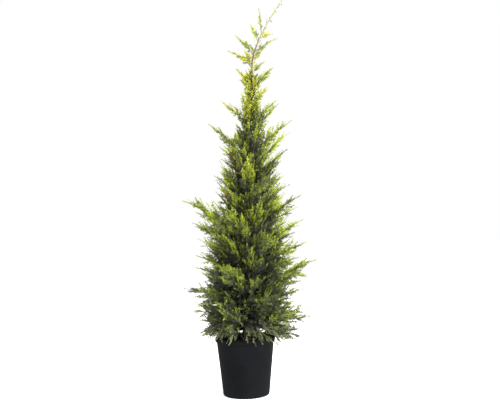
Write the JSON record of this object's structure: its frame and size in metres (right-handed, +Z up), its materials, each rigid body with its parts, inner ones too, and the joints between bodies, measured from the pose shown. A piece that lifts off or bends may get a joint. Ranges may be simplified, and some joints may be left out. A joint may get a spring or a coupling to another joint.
{
  "type": "potted leyland cypress",
  "caption": "Young leyland cypress in a round black nursery pot: a slender cone of flat feathery sprays, dark inside and yellow-green at the tips, under a nodding leader.",
  "frame": {"origin": "centre of the pot's flat underside", "axes": "+Z up along the plant; +X to the right of the picture's view, where the leader nods; -Y towards the picture's camera"},
  "size_m": [0.66, 0.6072, 1.8537],
  "materials": {
    "foliage": "matte",
    "bark": "matte",
    "pot_plastic": "satin",
    "compost": "matte"
  },
  "bodies": {
    "root": {"bough_back_1": "bark", "bough_front_1": "bark", "bough_left_1": "bark", "bough_left_2": "bark", "bough_right_1": "bark", "bough_right_2": "bark", "foliage_back_1": "foliage", "foliage_back_10": "foliage", "foliage_back_2": "foliage", "foliage_back_3": "foliage", "foliage_back_4": "foliage", "foliage_back_5": "foliage", "foliage_back_6": "foliage", "foliage_back_7": "foliage", "foliage_back_8": "foliage", "foliage_back_9": "foliage", "foliage_front_1": "foliage", "foliage_front_2": "foliage", "foliage_front_3": "foliage", "foliage_front_4": "foliage", "foliage_front_5": "foliage", "foliage_front_6": "foliage", "foliage_front_7": "foliage", "foliage_front_8": "foliage", "foliage_front_9": "foliage", "foliage_leader_1": "foliage", "foliage_leader_2": "foliage", "foliage_leader_3": "foliage", "foliage_leader_4": "foliage", "foliage_leader_5": "foliage", "foliage_leader_6": "foliage", "foliage_leader_7": "foliage", "foliage_left_1": "foliage", "foliage_left_10": "foliage", "foliage_left_11": "foliage", "foliage_left_2": "foliage", "foliage_left_3": "foliage", "foliage_left_4": "foliage", "foliage_left_5": "foliage", "foliage_left_6": "foliage", "foliage_left_7": "foliage", "foliage_left_8": "foliage", "foliage_left_9": "foliage", "foliage_right_1": "foliage", "foliage_right_10": "foliage", "foliage_right_11": "foliage", "foliage_right_12": "foliage", "foliage_right_13": "foliage", "foliage_right_2": "foliage", "foliage_right_3": "foliage", "foliage_right_4": "foliage", "foliage_right_5": "foliage", "foliage_right_6": "foliage", "foliage_right_7": "foliage", "foliage_right_8": "foliage", "foliage_right_9": "foliage", "pot": "pot_plastic", "soil": "compost", "trunk": "bark"}
  },
  "joints": []
}
